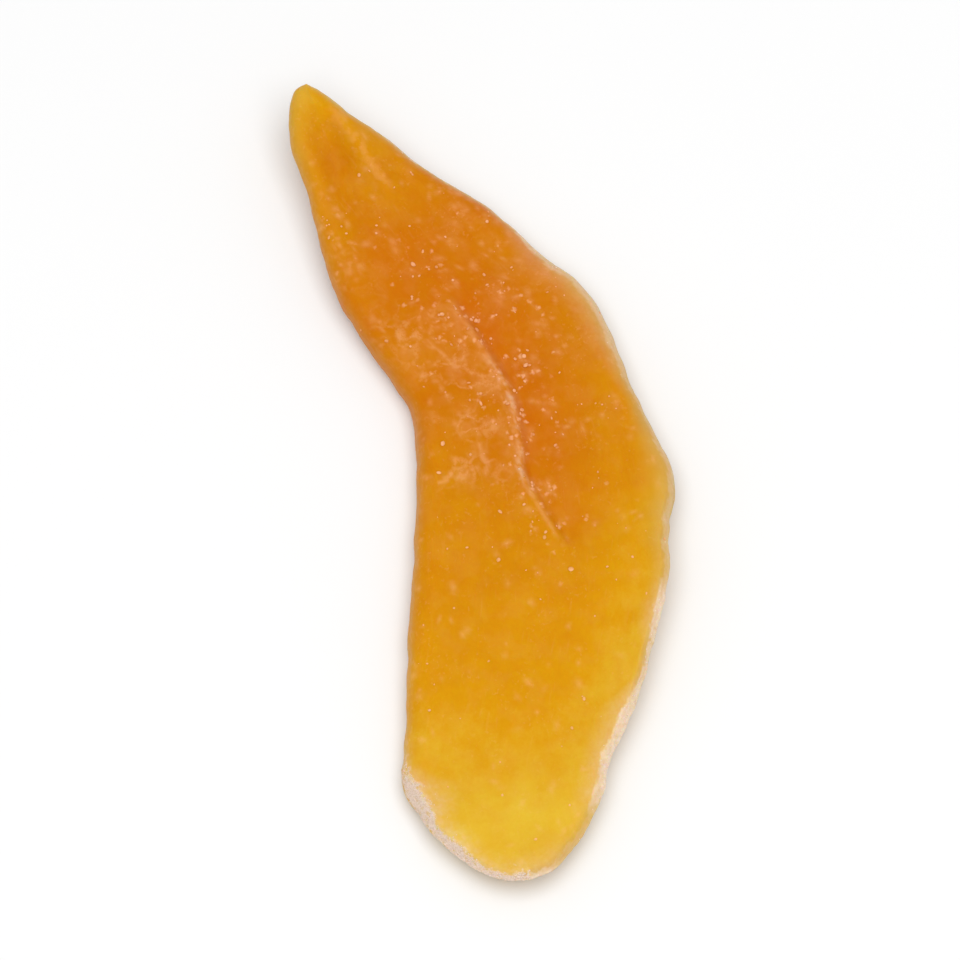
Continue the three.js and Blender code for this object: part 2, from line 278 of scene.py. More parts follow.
# Patches in the materials: the same three, and the heights of the noise where they start and are full.
STREAKS = (0.45 * MM, 1.0, 0.5, 0.60, 0.74)
STREAK_PATCHES = (2.6 * MM, 2.0, 0.5, 0.46, 0.62)
FILM_CLOUDS = (2.2 * MM, 2.2, 0.5, 0.42, 0.64)
DUST = (0.42 * MM, 1.0, 0.5, 0.58, 0.76)
DUST_PATCHES = (3.4 * MM, 3.0, 0.6, 0.44, 0.62)
CRYSTAL_CLOUDS = (0.9 * MM, 2.0, 0.5, 0.35, 0.65)

FIBRE_PATTERN_STRETCH = (1.0, 0.09, 1.0)
TONE_VARIATIONS = (0.30, 0.10, 0.05)  # by mottle, speckle and strands
EDGE_SHARE = 0.75  # how far the thin rim turns to its own colour
HAZE_SHARES = (0.12, 0.65, 0.3, 0.8)  # of streaks, net, dust and veil
SPECK_SIZE = 1.0 * MM  # of the cells that hold one soft speck each
SPECK_BEND_REACH = (0.6 * MM, 0.6 * MM, 0.6 * MM)  # how far the specks are bent out of round
SPECK_CHOICE = (-0.05, 0.4)  # from no speck to a full one: the sugar's weight less the cell's own number
SPECK_EDGE = (0.06, 0.40)  # from full to bare, in cells
SPECK_SHARE = 0.5
FROST_ROUGHER = 0.3
BUMP_HEIGHT = 0.08 * MM
GLOW_RADIUS = (1.0, 0.42, 0.1)  # red light travels furthest

# The form of the single grains and crystals, as shares of their size.
GRAIN_TILT = 0.15
GRAIN_SPREAD = 0.45  # of the sizes
GRAIN_SPREAD_LIMITS = (-0.9, 0.7)
GRAIN_STRETCH = (0.6, 1.4)
GRAIN_FLATNESS = (1, 1, 0.35)
GRAIN_UNEVENNESS = 0.15
GRAIN_RISE = 0.6  # how far the middle would stand out if the grain weren't sunk
CRYSTAL_SUNK = 0.6
FINE_GRAIN_SUNK = 0.35

END_CROWDING = 0.38  # how much closer the sections stand at both ends
CURVE_STEPS = 40  # straight runs between two stations of an outline
OUTLINE_STEPS = 420  # straight runs of each edge, from which the distance to the outline is taken

AIM = MM * np.array((-2.21, -1.25, 3.0))  # the place that the camera looks at
KEY_PLACE = (0.0, -0.08, 0.69)
KEY_SIZE = 0.7
FLOOR_SHADE = 0.985  # the darker parts of the floor against the paler ones
MAP_MARGIN = 0.02
MAP_SIDE_WIDTH = 0.47  # share of the flat map that each side of the slice takes up

BAKE_MAP = "OFBake"
TONE, THIN, FROST, HAZE, FILM = "tone", "thin", "frost", "haze", "film"
SUGAR, CRUMBS, RISE, GRAIN = "sugar", "crumbs", "rise", "grain"


def length_property(name, description, default):
    """A size that the sidebar shows in the scene's unit."""
    return FloatProperty(name=name, description=description, default=default, unit="LENGTH", precision=5)


def colour_property(name, description, default):
    return FloatVectorProperty(
        name=name, description=description, default=default, subtype="COLOR", size=3, min=0.0, max=1.0
    )


def share_property(name, description, default):
    return FloatProperty(name=name, description=description, default=default, subtype="FACTOR", min=0, max=1)


def angle_property(name, description, degrees):
    return FloatProperty(name=name, description=description, default=math.radians(degrees), subtype="ANGLE")


def count_property(name, description, default, least=1):
    return IntProperty(name=name, description=description, default=default, min=least)


class MangoShape(PropertyGroup):
    """Sizes of the flesh."""

    thickness: length_property("Thickness", "Thickness of the flesh in the middle", 6.0 * MM)
    tip_curl: length_property("Tip curl", "Height of the stem tip's underside", 7.0 * MM)
    blunt_curl: length_property("Blunt curl", "Height of the blunt end's underside", 1.4 * MM)
    ledge_drop: length_property("Ledge drop", "Depth of the step in the shown face", 0.5 * MM)
    rows: count_property("Sections", "Sections from tip to blunt end", 400, 20)
    top_columns: count_property("Top columns", "Faces across the shown side", 168, 12)
    under_columns: count_property("Under columns", "Faces across the underside", 72, 8)
    seed: count_property("Seed", "Start of the draws that place the smudges", 3, 0)


class MangoFleshLook(PropertyGroup):
    """Colours and finish of the flesh."""

    deep: colour_property("Deep flesh", "The darkest orange, in the thick middle", (0.552, 0.124, 0.001))
    orange: colour_property("Orange flesh", "The usual orange", (0.574, 0.184, 0.001))
    golden: colour_property("Golden flesh", "Between orange and yellow", (0.640, 0.290, 0.002))
    yellow: colour_property("Yellow flesh", "The palest flesh, at the blunt end", (0.710, 0.470, 0.035))
    edge: colour_property("Edge", "Thin flesh at the rim, which light gets through", (0.56, 0.345, 0.040))
    # The haze tint also paints the highlight along the ledge's crest.
    haze: colour_property("Haze", "Tint of thin, half dissolved sugar on the flesh", (0.95, 0.53, 0.27))
    haze_share: share_property("Haze share", "How far thin sugar can turn the flesh to its tint", 0.26)
    sugar: colour_property("Sugar", "Colour of single specks and crystals of sugar", (0.96, 0.52, 0.29))
    frost: colour_property("Frost", "Dried sugar on cut sides", (0.82, 0.665, 0.515))
    grains: colour_property("Rim grains", "The whitest of the fine grains on the frost", (1.0, 0.81, 0.70))
    roughness: share_property("Roughness", "Roughness of bare flesh", 0.48)
    shine: share_property("Shine", "Strength of the flesh's gloss", 0.25)
    gloss_tint: colour_property("Gloss tint", "Colour of the flesh's gloss", (1.0, 0.6, 0.08))
    glow: share_property("Glow", "Share of the light that travels through the flesh", 0.4)
    glow_depth: length_property("Glow depth", "How far light travels through the flesh", 2.2 * MM)


class MangoSugar(PropertyGroup):
    """Number and sizes of the sugar crystals and grains."""

    crystals: count_property("Crystals", "Crystals on the face", 260)
    crystal_size: length_property("Crystal size", "Usual half width of a crystal", 0.13 * MM)
    grains: count_property("Rim grains", "Fine grains on frosted parts", 6000)
    grain_size: length_property("Grain size", "Usual half width of a fine grain", 0.05 * MM)
    seed: count_property("Seed", "Start of the random draws", 7, 0)


class MangoStudio(PropertyGroup):
    """Floor, light and camera."""

    floor_size: length_property("Floor size", "Width of the pale floor", 1.6)
    floor_colour: colour_property("Floor", "Colour of the floor", (0.86, 0.86, 0.86))
    key_power: FloatProperty(
        name="Key light", description="Power of the soft light overhead", default=4.0, unit="POWER"
    )
    sky: FloatProperty(name="Sky", description="Strength of the even light from all round", default=0.55)
    azimuth: angle_property("Azimuth", "Turn of the camera round the slice", -13.883)
    elevation: angle_property("Elevation", "How steeply the camera looks down", 70)
    lens: FloatProperty(name="Lens", description="Focal length in millimetres", default=300.0)
    span: length_property("Span", "Width of the picture at the slice", 115.2 * MM)


# Shape


def smooth(value):
    """Eases from 0 to 1 with level ends."""
    v = np.clip(value, 0, 1)
    return v * v * (3 - 2 * v)


def rise(value, start, width):
    """0 up to the start, then eased over the width to 1."""
    return smooth((value - start) / width)


def fall(value, end, width):
    """1 at first, eased over the width to 0 at the end."""
    return smooth((end - value) / width)


def mix(low, high, share):
    return low + (high - low) * share


def curve_through(stations):
    """Points of the smooth curve through the stations."""
    padded = np.concatenate([stations[:1], stations, stations[-1:]])
    s = (np.arange(CURVE_STEPS) / CURVE_STEPS)[:, None]
    runs = []
    for before, start, end, after in zip(padded, padded[1:], padded[2:], padded[3:]):
        leave = (end - before) / 2
        arrive = (after - start) / 2
        bend = (2 * s**3 - 3 * s**2 + 1) * start + (3 * s**2 - 2 * s**3) * end
        runs.append(bend + (s**3 - 2 * s**2 + s) * leave + (s**3 - s**2) * arrive)
    return np.concatenate([*runs, stations[-1:]])


def run_length(points):
    """Distance from the first point to each point along the line."""
    steps = np.linalg.norm(np.diff(points, axis=0), axis=1)
    return np.concatenate([[0.0], np.cumsum(steps)])


def points_at(curve, shares):
    """Points at the given shares of the curve's length."""
    run = run_length(curve)
    return np.stack([np.interp(shares * run[-1], run, curve[:, axis]) for axis in range(2)], axis=-1)


LEFT_CURVE = curve_through(LEFT_EDGE)
RIGHT_CURVE = curve_through(RIGHT_EDGE)
LEDGE_CURVE = curve_through(LEDGE_LINE)
EDGE_LENGTH = (run_length(LEFT_CURVE)[-1] + run_length(RIGHT_CURVE)[-1]) / 2


def cut_share(along, across):
    """0 where the rim is soft, 1 where it is knife-cut. across is -1 at the left edge and 1 at the right."""
    start = mix(CUT_START_LEFT, CUT_START_RIGHT, smooth((across + 1) / 2))
    return rise(along, start, CUT_BLEND)


def noise_at(points, kind):
    """Noise of a kind, with its own height, at points in space."""
    size, height, octaves, shift = kind
    places = (points / size + shift).tolist()
    return height * np.array([noise.fractal(place, 1.0, 2.0, octaves) for place in places])


def wobble(along, side):
    """Small waves of an edge, -1 left or 1 right, which fade out at the two ends."""
    fade = smooth(along * WOBBLE_FADE) * smooth((1 - along) * WOBBLE_FADE)
    cut = cut_share(along, side)
    turns = side * np.arange(1, len(EDGE_WOBBLE_LENGTHS) + 1) * GOLDEN_ANGLE
    waves = np.sin(2 * np.pi * EDGE_LENGTH * along[:, None] / EDGE_WOBBLE_LENGTHS + turns).mean(axis=1)
    down = np.stack([along * EDGE_LENGTH, np.full_like(along, side * HALF_WIDTH), 0 * along], axis=1)
    nicks = noise_at(down, NICKS) * mix(SOFT_NICK_SHARE, 1, cut)
    return fade * (mix(SOFT_EDGE_WOBBLE, CUT_EDGE_WOBBLE, cut) * waves + nicks)


def section_ends(along):
    """The left and right rim of the sections at shares of the way along the slice."""
    left = points_at(LEFT_CURVE, along)
    right = points_at(RIGHT_CURVE, along)
    left[:, 0] += wobble(along, -1)
    right[:, 0] += wobble(along, 1)
    return left, right


def distance_to_line(x, y, line):
    """Distance from each place to a line of straight runs."""
    nearest = np.full(x.shape, np.inf)
    for start, end in zip(line, line[1:]):
        run = end - start
        length = max(run @ run, 1e-18)
        share = np.clip(((x - start[0]) * run[0] + (y - start[1]) * run[1]) / length, 0, 1)
        gap = (x - start[0] - share * run[0]) ** 2 + (y - start[1] - share * run[1]) ** 2
        nearest = np.minimum(nearest, gap)
    return np.sqrt(nearest)


def bump(value, centre, width):
    """1 at the centre, dying out over the width on both sides."""
    return np.exp(-(((value - centre) / width) ** 2))


def spots(value, places):
    """The sum of soft spots, each given as height, centre and half width."""
    return sum(height * bump(value, centre, width) for height, centre, width in places)


def bevel(distance, kind):
    """A rounded step from 0 at the outline to 1 at the bevel's inner side."""
    width, power = kind
    share = 1 - np.clip(distance / width, 0, 1)
    return (1 - share**power) ** (1 / power)


@dataclass
class Skin:
    """Every point of the slice's skin, by section and by place round the section."""

    along: np.ndarray  # share of the way from the stem tip to the blunt end
    across: np.ndarray  # -1 at the left rim, 1 at the right rim
    shown: np.ndarray  # True on the shown face
    x: np.ndarray
    y: np.ndarray
    from_middle: np.ndarray  # distance from the section's middle
    to_rim: np.ndarray  # distance from the outline
    top_columns: int


def lay_out_skin(shape):
    """Places every point of the skin in plan."""
    row = np.linspace(0, 1, shape.rows + 1)
    along = row - END_CROWDING * np.sin(2 * np.pi * row) / (2 * np.pi)
    over = np.linspace(0, np.pi, shape.top_columns, endpoint=False)
    under = np.linspace(np.pi, 2 * np.pi, shape.under_columns, endpoint=False)
    angle = np.concatenate([over, under])
    left, right = section_ends(along)
    across = np.broadcast_to(-np.cos(angle), (len(along), len(angle)))
    share = (across + 1) / 2
    x = mix(left[:, :1], right[:, :1], share)
    y = mix(left[:, 1:], right[:, 1:], share)
    width = np.linalg.norm(right - left, axis=1)[:, None]
    outline_shares = np.linspace(0, 1, OUTLINE_STEPS + 1)
    to_rim = np.minimum(*(distance_to_line(x, y, edge) for edge in section_ends(outline_shares)))
    to_rim[:, [0, shape.top_columns]] = 0
    along = np.broadcast_to(along[:, None], x.shape)
    shown = np.broadcast_to(np.sin(angle) > 0, x.shape)
    return Skin(along, across, shown, x, y, across * width / 2, to_rim, shape.top_columns)


def thickness_at(skin, shape):
    lean = skin.from_middle / HALF_WIDTH
    from_tip = mix(THICK_TIP_SHARE, 1, smooth(skin.along / TIP_TAPER_SHARE))
    from_blunt = mix(THICK_BLUNT_SHARE, 1, smooth((1 - skin.along) / BLUNT_TAPER_SHARE))
    towards_left = 1 - LEFT_THINNER * smooth(-lean)
    return shape.thickness * from_tip * from_blunt * towards_left


def underside_at(skin, shape):
    """Height of the rounded underside. It dips below the table under the belly, before that is made flat."""
    lean = skin.from_middle / HALF_WIDTH
    tip_share = np.clip(1 - skin.along / TIP_CURL_SHARE, 0, 1)
    blunt_share = np.clip(1 - (1 - skin.along) / BLUNT_CURL_SHARE, 0, 1)
    ends = shape.tip_curl * tip_share**2 + shape.blunt_curl * blunt_share**2
    twist = -TIP_TWIST * lean * smooth(tip_share)
    edge_lift = np.where(lean > 0, RIGHT_EDGE_LIFT, LEFT_EDGE_LIFT)
    return ends + twist + edge_lift * np.abs(lean) ** EDGE_LIFT_POWER - BELLY_SINK


def flattened(height):
    """The underside with its belly pressed flat against the table."""
    blend = (np.maximum(height, -BELLY_BLEND) + BELLY_BLEND) ** 2 / (4 * BELLY_BLEND)
    return np.where(height >= BELLY_BLEND, height, blend)


def beside_ledge(x, y):
    """Distance right of the ledge line, and how much of the ledge is left there, from 0 to 1."""
    line_x = np.interp(-y, -LEDGE_CURVE[:, 1], LEDGE_CURVE[:, 0])
    top, bottom = LEDGE_CURVE[0, 1], LEDGE_CURVE[-1, 1]
    return x - line_x, fall(y, top, LEDGE_FADE) * rise(y, bottom, LEDGE_FADE)


def ledge(x, y, drop_height):
    offset, fade = beside_ledge(x, y)
    step = smooth(offset / LEDGE_WIDTH + 0.5)
    drop = -drop_height * step * np.exp(-np.maximum(0, offset) / LEDGE_RECOVERY)
    lip = LEDGE_LIP * (1 - step) * np.exp(np.minimum(0, offset) / LIP_REACH)
    return fade * (drop + lip)


def stem_hollow(x, y):
    across = (x - HOLLOW_CENTRE[0]) / HOLLOW_HALF_SIZE[0]
    along = (y - HOLLOW_CENTRE[1]) / HOLLOW_HALF_SIZE[1]
    return -HOLLOW_DEPTH * np.exp(-(across**2) - along**2)


def stem_ridge(x, y):
    return RIDGE_HEIGHT * bump(distance_to_line(x, y, RIDGE_LINE), 0, RIDGE_WIDTH)


def lumps(x, y, turn):
    """Shallow lumps and dips in all directions."""
    waves = []
    for k, length in enumerate(LUMP_LENGTHS):
        angle = (k + turn) * GOLDEN_ANGLE
        travel = x * math.cos(angle) + y * math.sin(angle)
        waves.append(np.sin(2 * np.pi * travel / length + angle))
    return LUMP_HEIGHT * np.mean(waves, axis=0)


def fibres(skin, turn):
    """Coarse fibres that follow the slice's own bow."""
    down = skin.along * EDGE_LENGTH
    waves = []
    for k, spacing in enumerate(FIBRE_SPACINGS):
        slant = FIBRE_DRIFT * math.sin((k + turn) * GOLDEN_ANGLE)
        waves.append(np.sin(2 * np.pi * (skin.from_middle + slant * down) / spacing + k * GOLDEN_ANGLE))
    return FIBRE_HEIGHT * np.mean(waves, axis=0)


def heights(skin, shape):
    """Height of every point of the skin over the table."""
    thickness = thickness_at(skin, shape)
    cut = cut_share(skin.along, skin.across)
    rim_height = mix(SOFT_RIM_HEIGHT, CUT_RIM_HEIGHT, cut) * thickness
    rim = underside_at(skin, shape) + rim_height
    round_top = mix(bevel(skin.to_rim, SOFT_BEVEL), bevel(skin.to_rim, CUT_BEVEL), cut)
    relief = ledge(skin.x, skin.y, shape.ledge_drop)
    relief = relief + stem_hollow(skin.x, skin.y) + stem_ridge(skin.x, skin.y)
    grain = lumps(skin.x, skin.y, TOP_TURN) + fibres(skin, TOP_TURN)
    top = rim + round_top * (thickness - rim_height + relief + grain)
    grain_under = UNDER_GRAIN_SHARE * (lumps(skin.x, skin.y, UNDER_TURN) + fibres(skin, UNDER_TURN))
    round_under = mix(bevel(skin.to_rim, SOFT_UNDER_BEVEL), bevel(skin.to_rim, CUT_UNDER_BEVEL), cut)
    under = rim - round_under * (rim_height + grain_under)
    return np.where(skin.shown, top, flattened(under))


def as_points(grid):
    """One list of the values that are laid out by section and place round it, with each end point once."""
    return np.concatenate([grid[0, :1], grid[1:-1].reshape(-1, *grid.shape[2:]), grid[-1, :1]])


def listed(skin):
    """The same skin with its values in lists, ordered as the points of the mesh are."""
    grids = {name: as_points(grid) for name, grid in vars(skin).items() if name != "top_columns"}
    return replace(skin, **grids)


def skin_faces(rows, columns):
    """Corners of the faces as section and column: those with four, then the triangles at each end."""
    inner = [(row, column) for row in range(1, rows - 1) for column in range(columns)]
    fours = [((r, c), (r + 1, c), (r + 1, c + 1), (r, c + 1)) for r, c in inner]
    tip = [((0, c), (1, c), (1, c + 1)) for c in range(columns)]
    end = [((rows - 1, c), (rows, c), (rows - 1, c + 1)) for c in range(columns)]
    return [np.array(group) for group in (fours, tip, end)]


def point_number(corners, rows, columns):
    """The number of the point at each corner, as as_points orders them."""
    row, column = corners[..., 0], corners[..., 1] % columns
    return np.clip(1 + (row - 1) * columns + column, 0, 1 + (rows - 1) * columns)


def bake_places(points, skin, rows, columns):
    """Places of every point on a flat map, one for the shown side and one for the underside."""
    closed = np.concatenate([points, points[:, :1]], axis=1)
    girth = np.linalg.norm(np.diff(closed, axis=1), axis=2)
    run = np.concatenate([np.zeros((rows + 1, 1)), np.cumsum(girth, axis=1)], axis=1)
    split = run[:, skin.top_columns][:, None]
    top = run - split / 2
    under = run - (split + run[:, -1:]) / 2
    sides = top[:, : skin.top_columns + 1], under[:, skin.top_columns :]
    widest = max(np.ptp(side, axis=1).max() for side in sides)
    height = np.broadcast_to(mix(MAP_MARGIN, 1 - MAP_MARGIN, skin.along[:, :1]), run.shape)
    return tuple(
        np.stack([middle + MAP_SIDE_WIDTH * side / widest, height], axis=-1)
        for middle, side in ((0.25, top), (0.75, under))
    )


def add_bake_map(mesh, faces, places, skin):
    """Gives the mesh its flat map."""
    over, under = places
    coordinates = []
    for group in faces:
        row, column = group[..., 0], group[..., 1]
        is_over = (column.min(axis=1) < skin.top_columns)[:, None, None]
        coordinates.append(np.where(is_over, over[row, column], under[row, column]).reshape(-1, 2))
    layer = mesh.uv_layers.new(name=BAKE_MAP)
    layer.uv.foreach_set("vector", np.concatenate(coordinates).astype(np.float32).ravel())


def read(collection, field, width=1, kind=np.float32):
    """A field of every item in one of a mesh's collections, one row for each item."""
    values = np.empty(len(collection) * width, kind)
    collection.foreach_get(field, values)
    return values.reshape(-1, width)


def values_of(mesh, name):
    """The values that store() kept under the name."""
    return read(mesh.attributes[name].data, "value")[:, 0]


def along_edges(skin, column):
    """A value of the frost stations at every point, from the stations of its nearer edge."""
    right, left = (np.interp(skin.along, edge[:, 0], edge[:, column]) for edge in (RIGHT_FROST, LEFT_FROST))
    return np.where(skin.across > 0, right, left)


def crumbliness(skin):
    """How crumbly the dried sugar is: less on the chamfer than on the left."""
    return np.where(skin.across > 0, CHAMFER_CRUMBLE, 1.0)


def frosting(skin, points, facing_up):
    """How much dried sugar covers each point, from 0 to 1. It clings less to the upright sides."""
    width, strength = along_edges(skin, 1) * MM, along_edges(skin, 2)
    crumble = crumbliness(skin)
    coarse = noise_at(points, FROST_EDGE)
    fine = noise_at(points, FROST_CRUMB)
    ragged = skin.to_rim * (1 + 0.6 * crumble * coarse) + FROST_RAGGEDNESS * crumble * fine
    rim = strength * (1 - rise(ragged / width, 0.55, 0.5))
    rim *= 1 - CHAMFER_BARE * (1 - crumble) * bump(skin.to_rim, 0.5 * width, 0.25 * width)
    patches = mix(*SIDE_FROST, smooth(0.3 + noise_at(points, FROST_PATCHES)))
    rim *= mix(patches, 1, smooth(facing_up / 0.5))
    veil = FROST_VEIL * strength * (1 - smooth(skin.to_rim / (3 * width)))
    end = END_FROST * rise(skin.along, 0.91, 0.06) * (1 - smooth(skin.to_rim / END_FROST_WIDTH))
    offset = beside_ledge(points[:, 0], points[:, 1])[0]
    crest = np.interp(-points[:, 1], -MM * CREST_FROST[:, 0], CREST_FROST[:, 1]) * skin.shown
    crest *= bump(offset, CREST_PLACE, CREST_WIDTH) * smooth(0.5 + 1.3 * coarse + 1.3 * fine)
    return np.clip(np.maximum.reduce([rim, veil, end, crest]) * (1 + 0.8 * crumble * fine), 0, 1)


def smudges_at(points, weight, rng):
    """Small drawn-out smears of half dissolved sugar, most where the weight is high."""
    chosen = rng.choice(len(points), SMUDGES, p=weight / weight.sum())
    turns = rng.normal(scale=SMUDGE_TURN, size=SMUDGES) + math.pi / 2
    lengths = MM * rng.uniform(*SMUDGE_LENGTHS, SMUDGES)
    widths = MM * rng.uniform(*SMUDGE_WIDTHS, SMUDGES)
    strengths = rng.uniform(*SMUDGE_STRENGTHS, SMUDGES)
    ragged = 1 + noise_at(points, SMUDGE_EDGE)
    cover = np.zeros(len(points))
    for centre, turn, length, width, strength in zip(points[chosen], turns, lengths, widths, strengths):
        x, y, z = (points - centre).T
        near = (np.maximum(np.abs(x), np.abs(y)) < SMUDGE_REACH * length) & (np.abs(z) < SMUDGE_DEPTH)
        down = (x[near] * math.cos(turn) + y[near] * math.sin(turn)) / length
        aside = (y[near] * math.cos(turn) - x[near] * math.sin(turn)) / width
        gap = (down**2 + aside**2) * ragged[near]
        cover[near] = np.maximum(cover[near], strength * np.exp(-gap))
    return cover


def film_of(skin, points):
    """Where dried syrup left a net of fine lines: left of the ledge, and fainter up to the stem end."""
    offset, fade = beside_ledge(points[:, 0], points[:, 1])
    beside = smooth(1 + offset / (1.5 * MM)) * smooth(-offset / (0.3 * MM) + 0.5)
    left = smooth(-offset / (0.6 * MM)) * smooth(1 + (offset + 8 * MM) / (4 * MM))
    middle = rise(points[:, 1], FILM_FOOT, FILM_FADE) * np.sqrt(fade) * np.maximum(beside, left)
    upper = UPPER_FILM * rise(skin.along, 0.14, 0.1) * fall(skin.along, 0.55, 0.2)
    patches = smooth(0.5 + noise_at(points, FILM_PATCHES))
    return np.where(skin.shown, np.maximum(middle, upper) * patches, 0)


def haze_of(skin, points, rng):
    """Thin, half dissolved sugar: a band beside the ledge, the crests, veins and small smears all over. The
    pale line on the ledge's crest is partly a painted highlight on its lip.
    """
    x, y = points[:, 0], points[:, 1]
    offset, fade = beside_ledge(x, y)
    coarse = noise_at(points, HAZE_CLOUDS)
    fine = noise_at(points, HAZE_SPECKLE)
    reach = np.where(offset < 0, HAZE_REACH_LEFT, HAZE_REACH_RIGHT)
    band = BAND_HAZE * fade * rise(y, FILM_FOOT, FILM_FADE) * bump(offset, 0, reach)
    band *= smooth(0.35 + 1.2 * coarse + 0.5 * fine)
    # The crest line: half dissolved sugar and a painted highlight along the ledge's lip.
    torn = rise(y, TORN_CREST_FOOT, TORN_CREST_FADE)
    crest_width = mix(*CREST_HAZE_AND_HIGHLIGHT_WIDTHS, torn) * MM
    crest = fade * bump(offset + torn * coarse * TORN_CREST_WANDER, CREST_PLACE, crest_width)
    crest *= smooth(0.7 + coarse + 1.6 * fine)
    ridge_gap = distance_to_line(x, y, RIDGE_LINE) * (1 + 0.8 * coarse)
    ridge = RIDGE_HAZE * bump(ridge_gap, 0, PALE_RIDGE_WIDTH) * smooth(0.5 + 1.2 * coarse + 1.2 * fine)
    vein_gap = np.min([distance_to_line(x, y, vein) for vein in VEINS], axis=0) + VEIN_WANDER * coarse
    vein = VEIN_HAZE * bump(vein_gap, 0, VEIN_WIDTH) * smooth(0.6 + 1.5 * fine)
    smears = smudges_at(points, sugar_weight(skin, points), rng)
    return np.clip(np.maximum.reduce([band, crest, ridge, vein, smears]), 0, 1)


def on_facet(x, y):
    """1 on the facet that the second knife stroke left right of the ledge, 0 below its foot."""
    foot = np.interp(x, FACET_FOOT[:, 0], FACET_FOOT[:, 1])
    return smooth((y - foot) / FACET_BLEND + 0.5) * (x > LEDGE_LINE[-1, 0])


def tone_of(skin, points):
    """0 in the deepest orange flesh, 1 in the palest yellow flesh. Some terms below are painted shade and
    painted light.
    """
    x, y = points[:, 0], points[:, 1]
    offset, fade = beside_ledge(x, y)
    tone = np.interp(skin.along, TONE_STATIONS[:, 0], TONE_STATIONS[:, 1])
    right = rise(skin.across, 0.15, 0.75)
    left = rise(-skin.across, 0.25, 0.6)
    tone += RIGHT_SIDE_TONE * right * rise(skin.along, 0.2, 0.08) * (1 - rise(skin.along, 0.74, 0.18))
    # By the left edge this adds painted light on the shaded left rim, as well as paler flesh.
    tone += right * spots(skin.along, RIGHT_TONES) + left * spots(skin.along, LEFT_TONES_AND_PAINTED_LIGHT)
    # Painted shade: deeper orange in the stem hollow.
    tone += HOLLOW_PAINTED_SHADE * stem_hollow(x, y) / HOLLOW_DEPTH
    # Painted shade right of the ledge and painted light left of it, standing in for the step's light and
    # shade.
    lower = smooth(offset / (0.7 * MM) + 0.5)
    tone += BELOW_LEDGE_PAINTED_SHADE * fade * lower * np.exp(-np.maximum(0, offset) / BELOW_LEDGE_REACH)
    tone += ABOVE_LEDGE_PAINTED_LIGHT * fade * (1 - lower) * np.exp(np.minimum(0, offset) / ABOVE_LEDGE_REACH)
    tone += FACET_TONE * on_facet(x, y) * bump(y, *FACET_MIDDLE)
    return np.clip(tone + noise_at(points, TONE_DRIFT), 0, 1)


def paleness(skin):
    """How much the thin flesh of the rim lets light through, from 0 to 1."""
    tip = 1 - smooth(skin.along / 0.2)
    right = mix(*THIN_RIGHT_REACH, rise(skin.along, 0.27, 0.08)) + spots(skin.along, THIN_RIGHT_SPOTS)
    reach = np.where(skin.across > 0, right, mix(*THIN_LEFT_REACH, tip)) * MM
    strength = np.where(skin.across > 0, 1.0, mix(*THIN_LEFT_STRENGTH, tip))
    return strength * (1 - smooth(skin.to_rim / reach))


def sugar_weight(skin, points):
    """How many crystals stick to each point, against the others."""
    offset, fade = beside_ledge(points[:, 0], points[:, 1])
    near_ledge = SUGAR_AT_LEDGE * fade * bump(offset, LEDGE_SUGAR_PLACE, LEDGE_SUGAR_WIDTH)
    upper = SUGAR_UPPER * rise(skin.along, 0.12, 0.1) * fall(skin.along, 0.5, 0.2)
    all_over = SUGAR_ALL_OVER * (1 - 0.5 * rise(skin.along, 0.6, 0.1))
    clusters = smooth(0.5 + noise_at(points, SUGAR_CLUSTERS))
    inside = smooth(skin.to_rim / BARE_RIM_WIDTH) * rise(skin.along, 0.07, 0.1)
    weight = (all_over + near_ledge + upper) * clusters * inside
    return np.where(skin.shown, weight, SUGAR_UNDER_SHARE * weight)


def store(mesh, name, values):
    """Keeps a value of every point on the mesh."""
    kind, field = ("FLOAT", "value") if values.ndim == 1 else ("FLOAT_VECTOR", "vector")
    attribute = mesh.attributes.new(name, kind, "POINT")
    attribute.data.foreach_set(field, values.astype(np.float32).ravel())


def build_flesh_mesh(shape):
    """The skin as a closed mesh with its fine relief and the values that colour it."""
    skin = lay_out_skin(shape)
    rows, columns = shape.rows, shape.top_columns + shape.under_columns
    grid = np.stack([skin.x, skin.y, heights(skin, shape)], axis=-1)
    points = as_points(grid)
    faces = skin_faces(rows, columns)
    numbers = [point_number(group, rows, columns) for group in faces]
    mesh = bpy.data.meshes.new(FLESH)
    mesh.from_pydata(points.tolist(), [], [face for group in numbers for face in group.tolist()])
    mesh.shade_smooth()

    places = listed(skin)
    normals = read(mesh.vertex_normals, "vector", 3).astype(float)
    frost = frosting(places, points, normals[:, 2])
    haze = haze_of(places, points, np.random.default_rng(shape.seed))
    down = places.along * EDGE_LENGTH
    grain = np.stack([places.from_middle, down, points[:, 2]], axis=1)
    relief = noise_at(points, WRINKLES) + noise_at(points, PORES)
    relief += (1 - frost) * noise_at(grain / (1, STRAND_STRETCH, 1), STRANDS)
    relief += frost * (crumbliness(places) * noise_at(points, CRUST) + FROST_THICKNESS)
    points = points + normals * relief[:, None]
    points[:, 2] = np.maximum(points[:, 2], 0)
    mesh.vertices.foreach_set("co", points.astype(np.float32).ravel())
    mesh.update()

    add_bake_map(mesh, faces, bake_places(grid, skin, rows, columns), skin)
    store(mesh, TONE, tone_of(places, points))
    store(mesh, THIN, paleness(places))
    store(mesh, FROST, frost)
    store(mesh, HAZE, haze)
    store(mesh, FILM, film_of(places, points))
    store(mesh, SUGAR, sugar_weight(places, points))
    store(mesh, CRUMBS, frost**4 * crumbliness(places) ** 3)
    store(mesh, GRAIN, grain)
    return mesh


# Materials


